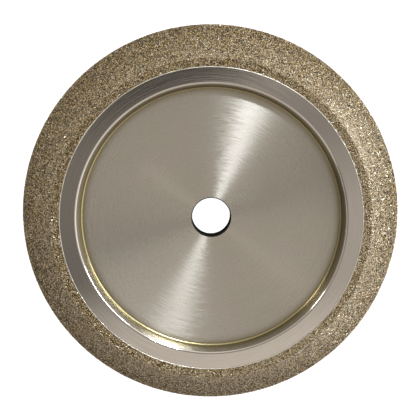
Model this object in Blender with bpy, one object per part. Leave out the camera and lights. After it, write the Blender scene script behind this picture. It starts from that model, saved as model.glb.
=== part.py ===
"""Electroplated profile grinding wheel for sharpening band-saw blades.

A turned steel core carries a thin nickel bond with one layer of abrasive crystals on its rim.
The rim has the shape of the gap between two saw teeth: a long slope that grinds a tooth's back,
a small crown that grinds the gullet, and a steep flank that grinds the next tooth's face.

Units are metres. +Z is the wheel's axis, and z = 0 is the back face that the wheel lies on.
The origin is where the axis crosses that face. Every solid is a closed outline in (radius, height)
that is turned about +Z.
"""

import math

import bmesh
import bpy

MM = 0.001

# Driving dimensions: diameter, arbor hole and width are the three sizes such a wheel is sold by.
WHEEL_RADIUS = 63.5 * MM
BORE_RADIUS = 6.35 * MM
WHEEL_WIDTH = 22.2 * MM

# Rim profile, measured on the outside of the coat.
SLOPE_ANGLE = math.radians(30)     # tooth-back slope, from the wheel's axis
HOOK_ANGLE = math.radians(10)      # tooth-face flank, from the plane square to the axis
CREASE_RADIUS = 52.8 * MM          # where the flat front band meets the slope
CROWN_RADIUS = 2.2 * MM            # roundness of the crown in section
COAT_INNER_RADIUS = 49.95 * MM     # inner edge of the flat front band
FLANK_LENGTH = 4.4 * MM            # coated length of the steep flank

# Layers, counted inwards from the outside of the coat.
GRIT_THICKNESS = 0.14 * MM
NICKEL_THICKNESS = 0.16 * MM
LAYER_GAP = 0.05 * MM
NICKEL_DEPTH = GRIT_THICKNESS + LAYER_GAP
CORE_DEPTH = NICKEL_DEPTH + NICKEL_THICKNESS + LAYER_GAP
NICKEL_LIP = 0.25 * MM             # how far the nickel runs on past the crystals at each edge

# Core: a web between a front recess and a back recess.
WEB_FRONT = 16.0 * MM
WEB_BACK = 8.0 * MM
RECESS_FLOOR_RADIUS = 43.1 * MM
RECESS_MOUTH_RADIUS = 44.3 * MM
CORNER_FILLET = 1.0 * MM
EDGE_BREAK = 0.3 * MM

SEGMENTS = 72
CROWN_FRONT_STEPS = 2              # from the slope to the widest point
CROWN_BACK_STEPS = 4               # from the widest point to the flank
FILLET_STEPS = 3


def crown_centre():
    """Section centre of the crown: it touches the slope and reaches the wheel's full radius."""
    radius = WHEEL_RADIUS - CROWN_RADIUS
    run = (radius - CREASE_RADIUS) * math.cos(SLOPE_ANGLE) + CROWN_RADIUS
    return radius, WHEEL_WIDTH - run / math.sin(SLOPE_ANGLE)


def crown_arc(depth):
    """Crown points, from the slope round to the flank, at a depth below the coat's outside."""
    centre_r, centre_z = crown_centre()
    size = CROWN_RADIUS - depth
    flank = HOOK_ANGLE - math.pi / 2
    front = [SLOPE_ANGLE * (1 - i / CROWN_FRONT_STEPS) for i in range(CROWN_FRONT_STEPS)]
    back = [flank * i / CROWN_BACK_STEPS for i in range(CROWN_BACK_STEPS + 1)]
    return [(centre_r + size * math.cos(a), centre_z + size * math.sin(a)) for a in front + back]


def crease(depth):
    """Point where the front band's plane meets the slope, at a depth below the outside."""
    pull = depth * (1 - math.sin(SLOPE_ANGLE)) / math.cos(SLOPE_ANGLE)
    return CREASE_RADIUS - pull, WHEEL_WIDTH - depth


def flank_point(depth, length):
    """Point on the steep flank, a length inwards from the end of the crown."""
    r, z = crown_arc(depth)[-1]
    return r - length * math.cos(HOOK_ANGLE), z - length * math.sin(HOOK_ANGLE)


def rim_path(depth, lip):
    """The coated line in section, front to back, reaching a lip past the crystals at each end."""
    front = (COAT_INNER_RADIUS - lip, WHEEL_WIDTH - depth)
    return [front, crease(depth)] + crown_arc(depth) + [flank_point(depth, FLANK_LENGTH + lip)]


def layer_outline(top, bottom, lip):
    """Closed section of a layer of the coat between two depths."""
    return rim_path(top, lip) + rim_path(bottom, lip)[::-1]


def fillet(corner, toward_start, toward_end, size):
    """Round a corner of a section: arc points tangent to both directions (unit vectors)."""
    dot = toward_start[0] * toward_end[0] + toward_start[1] * toward_end[1]
    half = math.acos(dot) / 2
    setback = size / math.tan(half)
    middle = (toward_start[0] + toward_end[0], toward_start[1] + toward_end[1])
    scale = size / math.sin(half) / math.hypot(*middle)
    centre = (corner[0] + middle[0] * scale, corner[1] + middle[1] * scale)
    first, last = [math.atan2(corner[1] + d[1] * setback - centre[1],
                              corner[0] + d[0] * setback - centre[0])
                   for d in (toward_start, toward_end)]
    sweep = math.remainder(last - first, 2 * math.pi)
    angles = [first + sweep * i / FILLET_STEPS for i in range(FILLET_STEPS + 1)]
    return [(centre[0] + size * math.cos(a), centre[1] + size * math.sin(a)) for a in angles]


def recess_side(floor_z, mouth_z):
    """A recess from its floor out to its mouth: filleted corner, tapered wall, broken edge."""
    run = RECESS_MOUTH_RADIUS - RECESS_FLOOR_RADIUS
    rise = mouth_z - floor_z
    slant = math.hypot(run, rise)
    wall = (run / slant, rise / slant)
    corner = fillet((RECESS_FLOOR_RADIUS, floor_z), (-1, 0), wall, CORNER_FILLET)
    before_edge = (RECESS_MOUTH_RADIUS - wall[0] * EDGE_BREAK, mouth_z - wall[1] * EDGE_BREAK)
    after_edge = (RECESS_MOUTH_RADIUS + EDGE_BREAK, mouth_z)
    return corner + [before_edge, after_edge]


def bore_outline():
    """The arbor hole's wall, back to front, with its two broken edges."""
    wide = BORE_RADIUS + EDGE_BREAK
    return [(wide, WEB_BACK), (BORE_RADIUS, WEB_BACK + EDGE_BREAK),
            (BORE_RADIUS, WEB_FRONT - EDGE_BREAK), (wide, WEB_FRONT)]


def core_outline():
    """Closed section of the core: bore, front recess, rim, back face, back recess."""
    face_z = WHEEL_WIDTH - CORE_DEPTH
    edge_r, edge_z = crown_arc(CORE_DEPTH)[-1]
    back_edge = (edge_r - edge_z / math.tan(HOOK_ANGLE), 0)
    rim = [crease(CORE_DEPTH)] + crown_arc(CORE_DEPTH) + [back_edge]
    return bore_outline() + recess_side(WEB_FRONT, face_z) + rim + recess_side(WEB_BACK, 0)[::-1]


def turned_mesh(name, outline):
    """Turn a closed section about +Z into one closed mesh whose faces point outwards."""
    mesh = bpy.data.meshes.new(name)
    bm = bmesh.new()
    section = [bm.verts.new((r, 0, z)) for r, z in outline]
    edges = [bm.edges.new((a, b)) for a, b in zip(section, section[1:] + section[:1])]
    bmesh.ops.spin(bm, geom=section + edges, cent=(0, 0, 0), axis=(0, 0, 1),
                   angle=2 * math.pi, steps=SEGMENTS, use_merge=True)
    bmesh.ops.recalc_face_normals(bm, faces=bm.faces)
    bm.to_mesh(mesh)
    bm.free()
    mesh.shade_smooth()
    mesh.set_sharp_from_angle(angle=math.radians(25))
    return mesh


def plain_material(name, color, metallic, roughness):
    """A Principled material with one colour."""
    material = bpy.data.materials.new(name)
    material.use_nodes = True
    shader = material.node_tree.nodes["Principled BSDF"]
    shader.inputs["Base Color"].default_value = (*color, 1)
    shader.inputs["Metallic"].default_value = metallic
    shader.inputs["Roughness"].default_value = roughness
    return material


def add_turned_part(name, outline, material):
    """Make one sub-part and link it to the scene."""
    mesh = turned_mesh(name, outline)
    mesh.materials.append(material)
    part = bpy.data.objects.new(name, mesh)
    bpy.context.scene.collection.objects.link(part)
    return part


def main():
    """Clear the scene and build the wheel."""
    for old in list(bpy.data.objects):
        bpy.data.objects.remove(old)
    steel = plain_material("turned_steel", (0.42, 0.41, 0.39), 1.0, 0.32)
    nickel = plain_material("nickel_plate", (0.50, 0.48, 0.44), 1.0, 0.38)
    crystals = plain_material("abrasive_crystals", (0.24, 0.20, 0.13), 0.0, 0.45)
    add_turned_part("steel_core", core_outline(), steel)
    add_turned_part("nickel_bond",
                    layer_outline(NICKEL_DEPTH, NICKEL_DEPTH + NICKEL_THICKNESS, NICKEL_LIP), nickel)
    add_turned_part("abrasive_grit", layer_outline(0, GRIT_THICKNESS, 0), crystals)


main()
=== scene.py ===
"""Looks of the electroplated profile grinding wheel, built round its fixed CAD frame.

The wheel lies on its back face with its axis along +Z. Three groups of pieces stand for the CAD nodes:
a finely turned steel core, the plated nickel bond, and thousands of separate abrasive crystals.
Every piece follows a section in (radius, height) that is carried round the axis.
"""

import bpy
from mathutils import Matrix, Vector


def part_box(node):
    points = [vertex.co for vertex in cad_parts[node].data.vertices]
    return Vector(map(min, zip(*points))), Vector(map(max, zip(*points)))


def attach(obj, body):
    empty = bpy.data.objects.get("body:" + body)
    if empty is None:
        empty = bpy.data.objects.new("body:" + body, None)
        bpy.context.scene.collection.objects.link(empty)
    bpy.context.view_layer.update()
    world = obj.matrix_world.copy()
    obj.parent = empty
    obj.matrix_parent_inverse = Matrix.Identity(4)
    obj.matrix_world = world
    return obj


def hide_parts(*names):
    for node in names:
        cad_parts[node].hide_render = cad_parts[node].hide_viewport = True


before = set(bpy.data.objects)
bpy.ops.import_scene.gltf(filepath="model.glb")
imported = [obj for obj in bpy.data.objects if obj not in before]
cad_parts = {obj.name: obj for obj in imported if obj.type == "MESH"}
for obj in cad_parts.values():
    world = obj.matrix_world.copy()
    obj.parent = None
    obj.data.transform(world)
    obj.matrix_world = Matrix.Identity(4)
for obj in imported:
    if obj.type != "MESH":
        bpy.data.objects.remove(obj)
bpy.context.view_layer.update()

import math

import bpy
import numpy as np
from mathutils import Matrix, Vector

MM = 0.001

# Sizes read from the frame.
WHEEL_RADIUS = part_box("abrasive_grit")[1][0]
WHEEL_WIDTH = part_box("abrasive_grit")[1][2]
CORE_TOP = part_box("steel_core")[1][2]

# Rim profile and layers, as in the CAD.
SLOPE_ANGLE = math.radians(30)
HOOK_ANGLE = math.radians(10)
CREASE_RADIUS = 52.8 * MM
CROWN_RADIUS = 2.2 * MM
COAT_INNER_RADIUS = 49.95 * MM
FLANK_LENGTH = 4.4 * MM
CORE_DEPTH = WHEEL_WIDTH - CORE_TOP
NICKEL_DEPTH = 0.19 * MM
NICKEL_THICKNESS = 0.16 * MM
NICKEL_LIP = 0.25 * MM             # how far the nickel runs on past the crystals at each edge

# Core: web, recesses and arbor hole.
BORE_RADIUS = 6.35 * MM
WEB_FRONT = 16.0 * MM
WEB_BACK = 8.0 * MM
RECESS_FLOOR_RADIUS = 43.1 * MM
RECESS_MOUTH_RADIUS = 44.3 * MM
EDGE_BREAK = 0.3 * MM
RECESS_FILLET = 0.9 * MM
MOUTH_ROUNDING = 0.8 * MM
OUTER_ROUNDING = 0.3 * MM
ROUNDING_STEPS = 12
SUPPORT = 0.05 * MM                # strip beside a rounding, which keeps the flat face's shading flat
SHARP_ANGLE = math.radians(35)     # edges bent more than this are shaded sharp

CORE_SEGMENTS = 480
CORE_CROWN_STEPS = 12
NICKEL_SEGMENTS = 720
NICKEL_CROWN_STEPS = 8
NICKEL_STEP = 0.5 * MM
NICKEL_UNEVENNESS = 0.02 * MM
LIP_UNEVENNESS = 0.3               # share of the nickel's unevenness that its smooth lip has
LIP_HEIGHT = 0.10 * MM
LIP_STEPS = 6

# Crystals: irregular octahedra in one layer, half sunk in the nickel.
CRYSTAL_SIZE = 0.34 * MM
CRYSTAL_PITCH = 0.31 * MM
SIZE_RANGE = (0.75, 1.15)          # smallest and largest crystal, as shares of the size
CORNER_REACH = (0.8, 1.2)          # a corner's distance from the middle, as a share of the even one
CORNER_SHIFT = 0.12                # and how far it strays each way, as a share of the size
ROW_JITTER = 0.4                   # how far a crystal strays from its row, as a share of the pitch
TURN_JITTER = 0.35                 # and along its row
PATH_STEP = 0.1 * MM               # spacing of the points that crystals are placed between
SEED = 20

# Shares of brown, khaki, amber, pale and nickel-capped crystals, from pale and bright, as in the painted
# sheen, to golden.
MIX_STEPS = (-1, 0, 0.5, 1, 1.5)
SHADE_MIXES = np.array([(0.08, 0.14, 0.04, 0.46, 0.28), (0.28, 0.22, 0.14, 0.21, 0.15),
                        (0.41, 0.16, 0.20, 0.08, 0.15), (0.57, 0.05, 0.28, 0.02, 0.08),
                        (0.66, 0.04, 0.24, 0.01, 0.05)])

# Where each zone of the coat stands between those mixes.
BAND_GOLDEN = -0.1
CREASE_GOLDEN = -0.6
OUTER_GOLDEN = 1.0                 # crown and flank
SLOPE_GOLDEN = (0.1, 0.3)          # at the slope's inner piece, and more with each piece outwards
SLOPE_SHEEN = (0.9, 0.2)            # painted sheen at the slope's inner piece, and less with each piece outwards
SLOPE_PIECES = 4
CREASE_WIDTH = 0.4 * MM            # pale line along the crease
STAIN_AND_WARM_LIGHT = 0.35                       # how much more golden the coat is towards one side: partly oil stain, partly painted warm light
STAIN_AND_WARM_LIGHT_AZIMUTH = math.radians(140)
SHEEN_AZIMUTH = math.radians(30)    # middle of the sector where the slope is painted pale and bright, as a sheen
SHEEN_WIDTH = math.radians(17)

# Materials.
WHITE = (1.0, 1.0, 1.0)
NOISE_RANGE = (0.3, 0.7)           # where most of a noise's values lie
PATCH_RANGE = (0.35, 0.65)         # the same for soft blotches, with firmer edges
STEEL_PATCH = 14 * MM
NICKEL_LUMP = 0.5 * MM
OIL_AND_SHADE_WIDTH = 3.2 * MM             # edge of the web that is yellowed by oil and darkened by painted shade
WALL_BANDS_REACH = 8.0                    # length in mm, across a recess wall, that its bands of oil colour, painted highlight and painted shade cover
COARSE_ARCS = 5                    # the higher, the shorter the arcs that the turned rings break into
FINE_ARCS = 9
FINE_FACTOR = 3                    # fine rings are this many times closer and shallower
WORN_SHARE = 0.35                  # most that a turned finish's worn colour covers its tint
QUARTER_TURN = 0.25                # anisotropic rotation that draws highlights out across the strokes
SHADED_SIDE = (0.5, 0.87)            # direction of the side where the recess wall is painted an even, dull shade in place of its golden line

# Stage.
CAMERA_DISTANCE = 567.5 * MM
CAMERA_TILT = math.radians(6.83)   # from straight above, towards +Y
CAMERA_SIDE = math.radians(0.94)   # and towards -X
CAMERA_AIM = Vector((-0.4, 2.36, 0)) * MM    # where the camera looks, from the web's centre
LENS = 147.0
SENSOR_WIDTH = 36.0
LIT_SIDE = (0.94, 0.34)            # direction of the room's bright side, 20 degrees from +X
OVERHEAD_TINT = (1.0, 0.925, 0.82)
FLOOR_HALF = 2.0
FLOOR_GLOW = 0.5                   # glow that lights the wheel; the camera sees a glow of 1


# ---------------------------------------------------------------- sections


def crown_centre():
    """Section centre of the crown, which touches the slope and reaches the full radius."""
    radius = WHEEL_RADIUS - CROWN_RADIUS
    run = (radius - CREASE_RADIUS) * math.cos(SLOPE_ANGLE) + CROWN_RADIUS
    return radius, WHEEL_WIDTH - run / math.sin(SLOPE_ANGLE)


def crown_arc(depth, steps):
    """Crown points from the slope to the flank, at a depth below the crystals' tips."""
    centre_r, centre_z = crown_centre()
    size = CROWN_RADIUS - depth
    angles = np.linspace(SLOPE_ANGLE, HOOK_ANGLE - math.pi / 2, steps + 1)
    return [(centre_r + size * math.cos(a), centre_z + size * math.sin(a)) for a in angles]


def crease_radius(depth):
    """Radius where the front band's plane meets the slope, at a depth below the crystals' tips."""
    return CREASE_RADIUS - depth * (1 - math.sin(SLOPE_ANGLE)) / math.cos(SLOPE_ANGLE)


def rim_path(depth, lip, steps=24):
    """The coated line, from the inner edge of the front band to the end of the steep flank."""
    front = (COAT_INNER_RADIUS - lip, WHEEL_WIDTH - depth)
    crease = (crease_radius(depth), WHEEL_WIDTH - depth)
    crown = crown_arc(depth, steps)
    length = FLANK_LENGTH + lip
    end = (crown[-1][0] - length * math.cos(HOOK_ANGLE), crown[-1][1] - length * math.sin(HOOK_ANGLE))
    return [front, crease] + crown + [end]


def rounded(corners):
    """Turn (r, z, rounding, zone) corners of a closed section into points with a zone each.

    A corner's zone names the stretch that runs on from it, and its rounding belongs to that zone.
    """
    points = []
    for i, (r, z, size, zone) in enumerate(corners):
        if not size:
            points.append((r, z, zone))
            continue
        here = np.array((r, z))
        before = np.array(corners[i - 1][:2]) - here
        after = np.array(corners[(i + 1) % len(corners)][:2]) - here
        before /= np.linalg.norm(before)
        after /= np.linalg.norm(after)
        half = math.acos(np.clip(before @ after, -1, 1)) / 2
        middle = (before + after) / np.linalg.norm(before + after)
        centre = here + middle * size / math.sin(half)
        setback = size / math.tan(half)
        start, end = [here + d * setback - centre for d in (before, after)]
        first = math.atan2(start[1], start[0])
        sweep = math.remainder(math.atan2(end[1], end[0]) - first, 2 * math.pi)
        points.append((*(here + before * (setback + SUPPORT)), corners[i - 1][3]))
        for a in np.linspace(first, first + sweep, ROUNDING_STEPS + 1):
            points.append((centre[0] + size * math.cos(a), centre[1] + size * math.sin(a), zone))
        points.append((*(here + after * (setback + SUPPORT)), zone))
    return points


def core_section():
    """Closed section of the core, with the zone of each stretch."""
    crown = crown_arc(CORE_DEPTH, CORE_CROWN_STEPS)
    back_edge = crown[-1][0] - crown[-1][1] / math.tan(HOOK_ANGLE)
    corners = [
        (BORE_RADIUS + EDGE_BREAK, WEB_BACK, 0, "bore"),
        (BORE_RADIUS, WEB_BACK + EDGE_BREAK, 0, "bore"),
        (BORE_RADIUS, WEB_FRONT - EDGE_BREAK, 0, "bore"),
        (BORE_RADIUS + EDGE_BREAK, WEB_FRONT, 0, "web"),
        (RECESS_FLOOR_RADIUS, WEB_FRONT, RECESS_FILLET, "wall"),
        (RECESS_MOUTH_RADIUS, CORE_TOP, MOUTH_ROUNDING, "ring"),
        (crease_radius(CORE_DEPTH), CORE_TOP, 0, "rim"),
        *[(r, z, 0, "rim") for r, z in crown],
        (back_edge, 0, OUTER_ROUNDING, "ring"),
        (RECESS_MOUTH_RADIUS, 0, MOUTH_ROUNDING, "wall"),
        (RECESS_FLOOR_RADIUS, WEB_BACK, RECESS_FILLET, "web"),
    ]
    return rounded(corners)


# ---------------------------------------------------------------- meshes


def link(name, mesh):
    """Make an object from a mesh and put it in the scene."""
    piece = bpy.data.objects.new(name, mesh)
    bpy.context.scene.collection.objects.link(piece)
    return piece


def turned_mesh(name, section, segments, slots, unevenness=0.0):
    """Turn a closed section of (r, z, slot) about +Z into a closed smooth mesh."""
    points = len(section)
    r = np.array([p[0] for p in section])
    z = np.array([p[1] for p in section])
    turn = np.arange(segments) * 2 * math.pi / segments
    radii = np.tile(r, (segments, 1))
    heights = np.tile(z, (segments, 1))
    if unevenness:
        rng = np.random.default_rng(SEED)
        scale = unevenness * np.array([LIP_UNEVENNESS if p[2] == "lip" else 1 for p in section])
        radii += rng.normal(0, 1, radii.shape) * scale
        heights += rng.normal(0, 1, heights.shape) * scale
    verts = np.stack((radii * np.cos(turn)[:, None], radii * np.sin(turn)[:, None], heights), 2)
    ring, point = np.meshgrid(np.arange(segments), np.arange(points), indexing="ij")
    start = ring * points
    next_start = (ring + 1) % segments * points
    next_point = (point + 1) % points
    quads = np.stack((start + point, next_start + point, next_start + next_point, start + next_point), 2)
    mesh = bpy.data.meshes.new(name)
    mesh.from_pydata(verts.reshape(-1, 3), [], quads.reshape(-1, 4))
    indices = np.tile([slots.index(p[2]) for p in section], segments)
    mesh.polygons.foreach_set("material_index", indices)
    mesh.shade_smooth()
    mesh.set_sharp_from_angle(angle=SHARP_ANGLE)
    mesh.update()
    return mesh


def make_core():
    """The steel core: one turned piece whose zones have their own finish."""
    zones = {"bore": bore_painted_shade(), "web": brushed_steel(), "wall": recess_steel(),
             "ring": polished_steel(), "rim": brushed_steel()}
    slots = list(zones)
    mesh = turned_mesh("core", core_section(), CORE_SEGMENTS, slots)
    for zone in slots:
        mesh.materials.append(zones[zone])
    piece = link("core", mesh)
    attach(piece, "root")
    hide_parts("steel_core")


def resample(path, step):
    """Points along a section line, never further apart than a step."""
    points = []
    for (r0, z0), (r1, z1) in zip(path, path[1:]):
        parts = max(1, math.ceil(math.hypot(r1 - r0, z1 - z0) / step))
        points += [(r0 + (r1 - r0) * k / parts, z0 + (z1 - z0) * k / parts) for k in range(parts)]
    return points + [path[-1]]


def lip_bead(at_front):
    """Rounded edge of the nickel past the crystals, at the front band or at the flank."""
    end = 0 if at_front else -1
    normal = (0, 1) if at_front else (math.sin(HOOK_ANGLE), -math.cos(HOOK_ANGLE))
    rim = rim_path(NICKEL_DEPTH, NICKEL_LIP)[end]
    coat = rim_path(NICKEL_DEPTH, 0)[end]
    points = []
    for k in range(LIP_STEPS + 1):
        share = k / LIP_STEPS
        lift = LIP_HEIGHT * math.sqrt(max(0, 1 - (2 * share - 1) ** 2))
        if k == 0:
            lift -= NICKEL_THICKNESS / 2
        points.append((rim[0] + (coat[0] - rim[0]) * share + normal[0] * lift,
                       rim[1] + (coat[1] - rim[1]) * share + normal[1] * lift))
    return points if at_front else points[::-1]


def make_nickel():
    """The nickel bond: a thin uneven shell with a smooth rounded lip along its edges."""
    top = resample(rim_path(NICKEL_DEPTH, 0, NICKEL_CROWN_STEPS), NICKEL_STEP)
    bottom = rim_path(NICKEL_DEPTH + NICKEL_THICKNESS, NICKEL_LIP, NICKEL_CROWN_STEPS)[::-1]
    section = [(r, z, "lip") for r, z in lip_bead(True)[:-1]]
    section += [(r, z, "plate") for r, z in top[:-1]]
    section += [(r, z, "lip") for r, z in lip_bead(False)]
    section += [(r, z, "plate") for r, z in bottom]
    mesh = turned_mesh("nickel", section, NICKEL_SEGMENTS, ["plate", "lip"], NICKEL_UNEVENNESS)
    mesh.materials.append(nickel_plate())
    mesh.materials.append(nickel_lip())
    piece = link("nickel", mesh)
    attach(piece, "root")
    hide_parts("nickel_bond")


def random_turns(rng, count):
    """Uniformly random rotation matrices."""
    quaternions = rng.normal(size=(count, 4))
    quaternions /= np.linalg.norm(quaternions, axis=1, keepdims=True)
    w, x, y, z = quaternions.T
    rows = [[1 - 2 * (y * y + z * z), 2 * (x * y - w * z), 2 * (x * z + w * y)],
            [2 * (x * y + w * z), 1 - 2 * (x * x + z * z), 2 * (y * z - w * x)],
            [2 * (x * z - w * y), 2 * (y * z + w * x), 1 - 2 * (x * x + y * y)]]
    return np.array(rows).transpose(2, 0, 1)


# An even crystal: an octahedron one unit across.
CRYSTAL_CORNERS = np.array([(0.5, 0, 0), (0, 0.5, 0), (0, 0, 0.5),
                            (-0.5, 0, 0), (0, -0.5, 0), (0, 0, -0.5)])
CRYSTAL_SIDES = np.array([(0, 1, 2), (1, 3, 2), (3, 4, 2), (4, 0, 2),
                          (1, 0, 5), (3, 1, 5), (4, 3, 5), (0, 4, 5)])


def crystal_places(rng, start, end):
    """Centres of the crystals between two distances along the nickel's section line."""
    path = np.array(resample(rim_path(NICKEL_DEPTH, 0), PATH_STEP))
    steps = np.linalg.norm(np.diff(path, axis=0), axis=1)
    along = np.concatenate(([0], np.cumsum(steps)))
    rows = max(1, round((end - start) / CRYSTAL_PITCH))
    centres = []
    for row in range(rows):
        middle = start + (end - start) * (row + 0.5) / rows
        count = round(2 * math.pi * np.interp(middle, along, path[:, 0]) / CRYSTAL_PITCH)
        distance = middle + rng.uniform(-ROW_JITTER, ROW_JITTER, count) * CRYSTAL_PITCH
        place = np.arange(count) + rng.uniform(-TURN_JITTER, TURN_JITTER, count) + rng.random()
        turn = place * 2 * math.pi / count
        r = np.interp(distance, along, path[:, 0])
        z = np.interp(distance, along, path[:, 1])
        centres.append(np.stack((r * np.cos(turn), r * np.sin(turn), z), 1))
    return np.concatenate(centres)


def make_crystals(name, start, end, shades, golden, wear_and_sheen, seed):
    """One zone of the crystal layer, between two distances along the nickel's section line.

    The golden measure picks a mix of shades between MIX_STEPS. Oil stain and painted warm light raise it
    towards one side, and a painted sheen lowers it in one sector of the slope.
    """
    rng = np.random.default_rng(seed)
    centres = crystal_places(rng, start, end)
    count = len(centres)
    each = len(CRYSTAL_CORNERS)
    corners = CRYSTAL_CORNERS * rng.uniform(*CORNER_REACH, (count, each, 1))
    corners = corners + rng.uniform(-CORNER_SHIFT, CORNER_SHIFT, (count, each, 3))
    corners *= CRYSTAL_SIZE * rng.uniform(*SIZE_RANGE, (count, 1, 1))
    corners = np.einsum("nij,nkj->nki", random_turns(rng, count), corners) + centres[:, None]
    corners[..., 2] = np.maximum(corners[..., 2], 0)
    faces = (np.arange(count)[:, None, None] * each + CRYSTAL_SIDES).reshape(-1, 3)
    mesh = bpy.data.meshes.new(name)
    mesh.from_pydata(corners.reshape(-1, 3), [], faces)
    turn = np.arctan2(centres[:, 1], centres[:, 0])
    # Oil stain and painted warm light make the coat more golden towards one side.
    tone = golden + STAIN_AND_WARM_LIGHT * np.cos(turn - STAIN_AND_WARM_LIGHT_AZIMUTH)
    # A painted sheen makes the slope paler and brighter in one sector.
    tone -= wear_and_sheen * np.exp(-((turn - SHEEN_AZIMUTH) / SHEEN_WIDTH) ** 2)
    mix = np.stack([np.interp(tone, MIX_STEPS, amounts) for amounts in SHADE_MIXES.T], 1)
    chosen = (rng.random((count, 1)) > np.cumsum(mix, 1)[:, :-1]).sum(1)
    mesh.polygons.foreach_set("material_index", np.repeat(chosen, len(CRYSTAL_SIDES)))
    for shade in shades:
        mesh.materials.append(shade)
    mesh.update()
    piece = link(name, mesh)
    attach(piece, "root")
    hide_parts("abrasive_grit")


def make_grit():
    """The crystal layer, zone by zone from the front band to the flank."""
    shades = crystal_shades()
    band = CREASE_RADIUS - COAT_INNER_RADIUS
    centre_r, centre_z = crown_centre()
    slope = math.hypot(centre_r + CROWN_RADIUS * math.cos(SLOPE_ANGLE) - CREASE_RADIUS,
                       centre_z + CROWN_RADIUS * math.sin(SLOPE_ANGLE) - WHEEL_WIDTH)
    crown = (CROWN_RADIUS - NICKEL_DEPTH) * (math.pi / 2 - HOOK_ANGLE + SLOPE_ANGLE)
    zones = [("grit_front_band", band - CREASE_WIDTH / 2, BAND_GOLDEN, 0),
             ("grit_crease", CREASE_WIDTH, CREASE_GOLDEN, 0)]
    width = (slope - CREASE_WIDTH / 2) / SLOPE_PIECES
    for k in range(SLOPE_PIECES):
        golden = SLOPE_GOLDEN[0] + SLOPE_GOLDEN[1] * k
        wear_and_sheen = SLOPE_SHEEN[0] - SLOPE_SHEEN[1] * k
        zones.append((f"grit_slope_{k + 1}", width, golden, wear_and_sheen))
    zones += [("grit_crown", crown, OUTER_GOLDEN, 0), ("grit_flank", FLANK_LENGTH, OUTER_GOLDEN, 0)]
    start = 0
    for k, (name, length, golden, wear_and_sheen) in enumerate(zones):
        make_crystals(name, start, start + length, shades, golden, wear_and_sheen, SEED + k)
        start += length


# ---------------------------------------------------------------- materials


def new_material(name):
    """A material with its node tree and Principled shader."""
    material = bpy.data.materials.new(name)
    material.use_nodes = True
    return material, material.node_tree, material.node_tree.nodes["Principled BSDF"]


def maths(tree, operation, a, b=0.0):
    """A Math node; each operand is a socket or a number."""
    node = tree.nodes.new("ShaderNodeMath")
    node.operation = operation
    for socket, value in zip(node.inputs, (a, b)):
        if isinstance(value, bpy.types.NodeSocket):
            tree.links.new(value, socket)
        else:
            socket.default_value = value
    return node.outputs[0]


def plus(tree, a, b):
    """The sum of two sockets or numbers."""
    return maths(tree, "ADD", a, b)


def times(tree, a, b):
    """The product of two sockets or numbers."""
    return maths(tree, "MULTIPLY", a, b)


def combine(tree, x, y, z):
    """A vector from three sockets or numbers."""
    node = tree.nodes.new("ShaderNodeCombineXYZ")
    for socket, value in zip(node.inputs, (x, y, z)):
        if isinstance(value, bpy.types.NodeSocket):
            tree.links.new(value, socket)
        else:
            socket.default_value = value
    return node.outputs[0]


def turned_coordinates(tree):
    """Radius, the cosine and sine of the angle round the axis, and height, in metres."""
    place = tree.nodes.new("ShaderNodeTexCoord").outputs["Object"]
    split = tree.nodes.new("ShaderNodeSeparateXYZ")
    tree.links.new(place, split.inputs[0])
    x, y, z = split.outputs
    radius = maths(tree, "SQRT", plus(tree, times(tree, x, x), times(tree, y, y)))
    return radius, maths(tree, "DIVIDE", x, radius), maths(tree, "DIVIDE", y, radius), z


def arc_noise(tree, coordinates, spacing, arcs, detail=3.0):
    """Noise drawn out along circles: rings a spacing apart, broken into arcs."""
    radius, cosine, sine, height = coordinates
    across = times(tree, plus(tree, radius, height), 1 / spacing)
    vector = combine(tree, times(tree, cosine, arcs), times(tree, sine, arcs), across)
    noise = tree.nodes.new("ShaderNodeTexNoise")
    noise.inputs["Scale"].default_value = 1.0
    noise.inputs["Detail"].default_value = detail
    tree.links.new(vector, noise.inputs["Vector"])
    return noise.outputs["Fac"]


def ramp(tree, factor, stops):
    """A colour ramp through (position, colour) stops."""
    node = tree.nodes.new("ShaderNodeValToRGB")
    elements = node.color_ramp.elements
    while len(elements) < len(stops):
        elements.new(0.5)
    for element, (position, color) in zip(elements, stops):
        element.position = position
        element.color = (*color, 1)
    tree.links.new(factor, node.inputs["Fac"])
    return node.outputs["Color"]


def span(tree, value, low, high, to_low=0.0, to_high=1.0):
    """Map a value's range to another, clamped."""
    node = tree.nodes.new("ShaderNodeMapRange")
    for name, number in (("From Min", low), ("From Max", high), ("To Min", to_low), ("To Max", to_high)):
        node.inputs[name].default_value = number
    tree.links.new(value, node.inputs["Value"])
    return node.outputs["Result"]


def bump(tree, height, distance, normal=None):
    """A Bump node, chained on another normal if one is given."""
    node = tree.nodes.new("ShaderNodeBump")
    node.inputs["Distance"].default_value = distance
    tree.links.new(height, node.inputs["Height"])
    if normal is not None:
        tree.links.new(normal, node.inputs["Normal"])
    return node.outputs["Normal"]


def brush(tree, shader, coordinates, grain, anisotropy, wander):
    """Brush a metal along circles round the axis, with strokes that wander from ring to ring."""
    circle = tree.nodes.new("ShaderNodeTangent")
    circle.direction_type = "RADIAL"
    circle.axis = "Z"
    _, cosine, sine, _ = coordinates
    drift = times(tree, maths(tree, "SUBTRACT", grain, 0.5), wander)
    sideways = combine(tree, times(tree, cosine, drift), times(tree, sine, drift), 0.0)
    stroke = tree.nodes.new("ShaderNodeVectorMath")
    tree.links.new(circle.outputs[0], stroke.inputs[0])
    tree.links.new(sideways, stroke.inputs[1])
    tree.links.new(stroke.outputs[0], shader.inputs["Tangent"])
    shader.inputs["Anisotropic"].default_value = anisotropy
    shader.inputs["Anisotropic Rotation"].default_value = QUARTER_TURN


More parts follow.
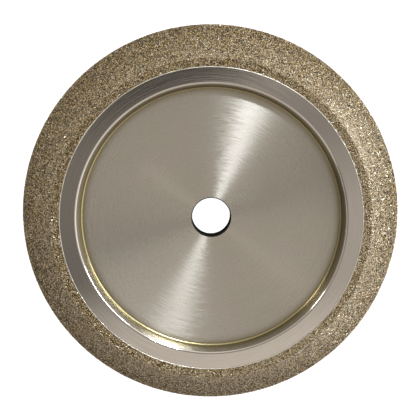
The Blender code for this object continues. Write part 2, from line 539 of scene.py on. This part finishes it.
def blend(tree, factor, a, b):
    """Mix two colours, each a socket or a colour, by a factor socket."""
    node = tree.nodes.new("ShaderNodeMix")
    node.data_type = "RGBA"
    tree.links.new(factor, node.inputs["Factor"])
    color_inputs = (node.inputs[6], node.inputs[7])
    for socket, color in zip(color_inputs, (a, b)):
        if isinstance(color, bpy.types.NodeSocket):
            tree.links.new(color, socket)
        else:
            socket.default_value = (*color, 1)
    return node.outputs[2]


def patches(tree, size, detail=2.0):
    """Soft blotches of about a given size."""
    noise = tree.nodes.new("ShaderNodeTexNoise")
    noise.inputs["Scale"].default_value = 1 / size
    noise.inputs["Detail"].default_value = detail
    tree.links.new(tree.nodes.new("ShaderNodeTexCoord").outputs["Object"], noise.inputs["Vector"])
    return noise.outputs["Fac"]


def steel_tones(tree, first, second):
    """Bare steel in soft blotches of two close tones."""
    return blend(tree, span(tree, patches(tree, STEEL_PATCH), *PATCH_RANGE), first, second)


def turned_finish(name, tint, worn, roughness, anisotropy, spacing, depth, wander=0.0):
    """Turned steel, with fine rings, a brushed highlight and a tint that is worn here and there.

    The tint is a function that makes the colour from the node tree and the turned coordinates.
    """
    material, tree, shader = new_material(name)
    shader.inputs["Metallic"].default_value = 1.0
    coordinates = turned_coordinates(tree)
    grain = arc_noise(tree, coordinates, spacing, COARSE_ARCS, detail=4.0)
    fine = arc_noise(tree, coordinates, spacing / FINE_FACTOR, FINE_ARCS)
    wear_and_sheen = span(tree, grain, *NOISE_RANGE, 0.0, WORN_SHARE)
    tree.links.new(blend(tree, wear_and_sheen, tint(tree, coordinates), worn), shader.inputs["Base Color"])
    tree.links.new(span(tree, grain, *NOISE_RANGE, *roughness), shader.inputs["Roughness"])
    rings = bump(tree, grain, depth, bump(tree, fine, depth / FINE_FACTOR))
    tree.links.new(rings, shader.inputs["Normal"])
    brush(tree, shader, coordinates, grain, anisotropy, wander)
    return material


def web_tint(tree, coordinates):
    """Colour of the web: bare steel, yellowed by oil and darkened by painted shade beside the recess's
    corner.
    """
    bare = steel_tones(tree, (0.55, 0.525, 0.465), (0.57, 0.53, 0.49))
    radius = coordinates[0]
    # Painted shade, with a yellow oil tint, darkens the web towards the recess's corner.
    near = span(tree, radius, RECESS_FLOOR_RADIUS - OIL_AND_SHADE_WIDTH, RECESS_FLOOR_RADIUS - RECESS_FILLET)
    return blend(tree, times(tree, near, near), bare, (0.36, 0.32, 0.23))


def brushed_steel():
    """The web's circular brushing."""
    return turned_finish("brushed_steel", web_tint, worn=(0.47, 0.445, 0.40), roughness=(0.25, 0.32),
                         anisotropy=0.95, spacing=0.36 * MM, depth=0.003 * MM, wander=0.28)


def ring_tint(tree, _):
    """Colour of the bare rings, the same at every radius."""
    return steel_tones(tree, (0.61, 0.58, 0.54), (0.62, 0.575, 0.55))


def polished_steel():
    """The bare rings of the rim, turned and polished."""
    return turned_finish("polished_steel", ring_tint, worn=(0.52, 0.49, 0.46), roughness=(0.05, 0.09),
                         anisotropy=0.3, spacing=0.5 * MM, depth=0.004 * MM)


def bore_painted_shade():
    """The arbor hole's wall: bare steel, painted near-black as the shade deep in the hole, and without a
    specular reflection.
    """
    material, tree, shader = new_material("bore_painted_shade")
    # Near-black tones and no specular: painted shade on a bare steel wall.
    painted_shade_tones = blend(tree, patches(tree, 2 * MM), (0.005, 0.005, 0.004), (0.022, 0.021, 0.016))
    tree.links.new(painted_shade_tones, shader.inputs["Base Color"])
    shader.inputs["Roughness"].default_value = 0.55
    shader.inputs["Specular IOR Level"].default_value = 0.0
    return material


def oil_stain_and_painted_light(tree, coordinates):
    """Colour across a recess wall: a golden line that is partly oil and partly a painted highlight on
    the corner's rounding, bands of painted shade, then bare steel.
    """
    radius, cosine, sine, height = coordinates
    middle = (WEB_FRONT + WEB_BACK) / 2
    from_middle = maths(tree, "ABSOLUTE", maths(tree, "SUBTRACT", height, middle))
    lift = maths(tree, "SUBTRACT", from_middle, (WEB_FRONT - WEB_BACK) / 2)
    outward = maths(tree, "SUBTRACT", radius, RECESS_FLOOR_RADIUS - RECESS_FILLET)
    # Distances in mm outwards and up from where the corner's rounding starts. The dark bands are painted
    # shade, and the bright golden band is partly a painted highlight.
    stops = [(0, (0.30, 0.25, 0.15)), (0.25, (0.20, 0.17, 0.09)), (0.45, (0.52, 0.44, 0.22)),
             (0.75, (0.56, 0.48, 0.25)), (1.0, (0.20, 0.17, 0.09)), (1.9, (0.24, 0.22, 0.14)),
             (4.0, (0.40, 0.37, 0.30)), (7.0, (0.52, 0.49, 0.45))]
    share = span(tree, plus(tree, outward, lift), 0, WALL_BANDS_REACH * MM)
    wall_bands = ramp(tree, share, [(distance / WALL_BANDS_REACH, color) for distance, color in stops])
    # The side that faces away from the main lamp gets an even painted shade in place of the golden line.
    toward_shaded_side = plus(tree, times(tree, cosine, SHADED_SIDE[0]), times(tree, sine, SHADED_SIDE[1]))
    return blend(tree, span(tree, toward_shaded_side, -0.4, 0.4, 0.0, 0.8), wall_bands, (0.24, 0.20, 0.13))


def recess_steel():
    """The recess wall, with yellowed oil in its corner, and a painted highlight and painted shade across
    it.
    """
    return turned_finish("recess_steel", oil_stain_and_painted_light, worn=(0.30, 0.27, 0.20), roughness=(0.24, 0.32),
                         anisotropy=0.5, spacing=0.4 * MM, depth=0.003 * MM)


def nickel_plate():
    """Satin nickel between the crystals, uneven as it grew round them."""
    material, tree, shader = new_material("nickel_plate")
    shader.inputs["Metallic"].default_value = 1.0
    lumps = patches(tree, NICKEL_LUMP, detail=3.0)
    color = ramp(tree, lumps, list(zip(NOISE_RANGE, ((0.07, 0.05, 0.022), (0.24, 0.18, 0.09)))))
    tree.links.new(color, shader.inputs["Base Color"])
    tree.links.new(span(tree, lumps, *NOISE_RANGE, 0.42, 0.26), shader.inputs["Roughness"])
    tree.links.new(bump(tree, lumps, 0.1 * MM), shader.inputs["Normal"])
    return material


def nickel_lip():
    """The nickel's smooth edge, free of crystals."""
    material, tree, shader = new_material("nickel_lip")
    shader.inputs["Metallic"].default_value = 1.0
    cloud = patches(tree, 1.5 * MM)
    color = blend(tree, cloud, (0.75, 0.72, 0.67), (0.95, 0.93, 0.90))
    tree.links.new(color, shader.inputs["Base Color"])
    tree.links.new(span(tree, cloud, *NOISE_RANGE, 0.28, 0.42), shader.inputs["Roughness"])
    return material


def crystal_material(name, color, roughness, metallic):
    """One shade of crystal: glassy, or capped by nickel where metallic."""
    material, _, shader = new_material(name)
    shader.inputs["Base Color"].default_value = (*color, 1)
    shader.inputs["Roughness"].default_value = roughness
    shader.inputs["Metallic"].default_value = metallic
    shader.inputs["IOR"].default_value = 1.55
    return material


def crystal_shades():
    """The crystals' shades: brown, khaki, amber, pale and nickel-capped."""
    return [crystal_material("crystal_brown", (0.026, 0.016, 0.006), 0.25, 0.0),
            crystal_material("crystal_khaki", (0.210, 0.145, 0.058), 0.30, 0.0),
            crystal_material("crystal_amber", (0.480, 0.330, 0.125), 0.30, 0.0),
            crystal_material("crystal_pale", (0.620, 0.530, 0.390), 0.35, 0.0),
            crystal_material("crystal_capped", (0.84, 0.75, 0.60), 0.36, 1.0)]


# ---------------------------------------------------------------- stage


def aim(thing, place, target, up=(0, 1, 0)):
    """Put a camera or lamp at a place, looking at a target, with a given up direction."""
    back = (Vector(place) - Vector(target)).normalized()
    right = Vector(up).cross(back).normalized()
    above = back.cross(right)
    thing.rotation_mode = "QUATERNION"
    rotation = [[right[i], above[i], back[i]] for i in range(3)]
    thing.rotation_quaternion = Matrix(rotation).to_quaternion()
    thing.location = place


def make_camera():
    """The camera, above the wheel and tilted a little towards +Y."""
    web_centre = Vector((0, 0, WEB_FRONT))
    away = Vector((-math.sin(CAMERA_SIDE) * math.cos(CAMERA_TILT), math.sin(CAMERA_TILT),
                   math.cos(CAMERA_SIDE) * math.cos(CAMERA_TILT)))
    data = bpy.data.cameras.new("camera")
    data.sensor_width = SENSOR_WIDTH
    data.lens = LENS
    data.clip_start = 0.01
    camera = bpy.data.objects.new("camera", data)
    bpy.context.scene.collection.objects.link(camera)
    aim(camera, web_centre + away * CAMERA_DISTANCE, web_centre + CAMERA_AIM)
    bpy.context.scene.camera = camera


def area_light(name, azimuth, elevation, distance, size, power, color):
    """A soft box that looks at the wheel, from an azimuth in degrees counter-clockwise from +X."""
    data = bpy.data.lights.new(name, "AREA")
    data.shape = "RECTANGLE"
    data.size, data.size_y = size
    data.energy = power
    data.color = color
    lamp = bpy.data.objects.new(name, data)
    bpy.context.scene.collection.objects.link(lamp)
    turn = math.radians(azimuth)
    rise = math.radians(elevation)
    way = Vector((math.cos(turn) * math.cos(rise), math.sin(turn) * math.cos(rise), math.sin(rise)))
    aim(lamp, way * distance, (0, 0, WEB_FRONT), up=(0, 0, 1))


def make_lights():
    """Soft boxes: a high key and a broad low one from the right, and a small warm one from the left."""
    area_light("key", azimuth=65, elevation=51, distance=1.0, size=(0.18, 0.08), power=5.4,
               color=(0.88, 0.94, 1.0))
    area_light("right", azimuth=30, elevation=8, distance=1.2, size=(0.7, 0.3), power=13.0,
               color=(0.91, 0.96, 1.0))
    area_light("warm", azimuth=148, elevation=18, distance=1.2, size=(0.2, 0.2), power=2.2,
               color=(1.0, 0.92, 0.78))


def make_world():
    """Soft light from all round: brighter from the right, and dim overhead, where the camera is."""
    world = bpy.data.worlds.new("studio")
    world.use_nodes = True
    tree = world.node_tree
    background = tree.nodes["Background"]
    split = tree.nodes.new("ShaderNodeSeparateXYZ")
    tree.links.new(tree.nodes.new("ShaderNodeTexCoord").outputs["Generated"], split.inputs[0])
    x, y, z = split.outputs
    rightward = plus(tree, times(tree, x, LIT_SIDE[0]), times(tree, y, LIT_SIDE[1]))
    horizon = ramp(tree, span(tree, rightward, -1, 1),
                   [(0, (0.54, 0.49, 0.40)), (0.5, (0.84, 0.78, 0.68)), (1, (1.90, 1.85, 1.76))])
    forward = maths(tree, "SUBTRACT", times(tree, x, LIT_SIDE[1]), times(tree, y, LIT_SIDE[0]))
    # Brightness overhead, by how far forward: panels and gaps that the polished ring mirrors.
    left = [(-0.5, 0.5), (-0.06, 0.45), (0.0, 0.12), (0.03, 0.06), (0.036, 0.09), (0.042, 0.22),
            (0.054, 0.27), (0.09, 0.25), (0.13, 0.20), (0.165, 0.76), (0.25, 0.9), (0.5, 0.6)]
    right = [(-0.5, 0.5), (-0.06, 0.45), (0.0, 0.12), (0.03, 0.02), (0.037, 0.05), (0.052, 0.60),
             (0.065, 0.38), (0.09, 0.34), (0.14, 0.60), (0.185, 0.54), (0.205, 0.98), (0.5, 0.6)]
    sides = []
    for levels in (left, right):
        stops = [(way + 0.5, [level * tint for tint in OVERHEAD_TINT]) for way, level in levels]
        sides.append(ramp(tree, span(tree, forward, -0.5, 0.5), stops))
    overhead = blend(tree, span(tree, rightward, -0.06, 0.02), *sides)
    around = blend(tree, span(tree, z, 0.45, 0.8), horizon, overhead)
    seen = tree.nodes.new("ShaderNodeLightPath").outputs["Is Camera Ray"]
    tree.links.new(blend(tree, seen, around, WHITE), background.inputs["Color"])
    bpy.context.scene.world = world


def make_floor():
    """A plain white floor, which throws back less light than it shows."""
    corners = [(x * FLOOR_HALF, y * FLOOR_HALF, 0) for x, y in ((-1, -1), (1, -1), (1, 1), (-1, 1))]
    mesh = bpy.data.meshes.new("floor")
    mesh.from_pydata(corners, [], [(0, 1, 2, 3)])
    material, tree, shader = new_material("floor")
    shader.inputs["Base Color"].default_value = (0.3, 0.3, 0.3, 1)
    shader.inputs["Roughness"].default_value = 0.9
    shader.inputs["Emission Color"].default_value = (1, 1, 1, 1)
    seen = tree.nodes.new("ShaderNodeLightPath").outputs["Is Camera Ray"]
    tree.links.new(span(tree, seen, 0, 1, FLOOR_GLOW, 1.0), shader.inputs["Emission Strength"])
    mesh.materials.append(material)
    link("floor", mesh)


def main():
    """Build the stage and the pieces."""
    bpy.context.scene.view_settings.view_transform = "Standard"
    make_camera()
    make_world()
    make_lights()
    make_floor()
    make_core()
    make_nickel()
    make_grit()


main()
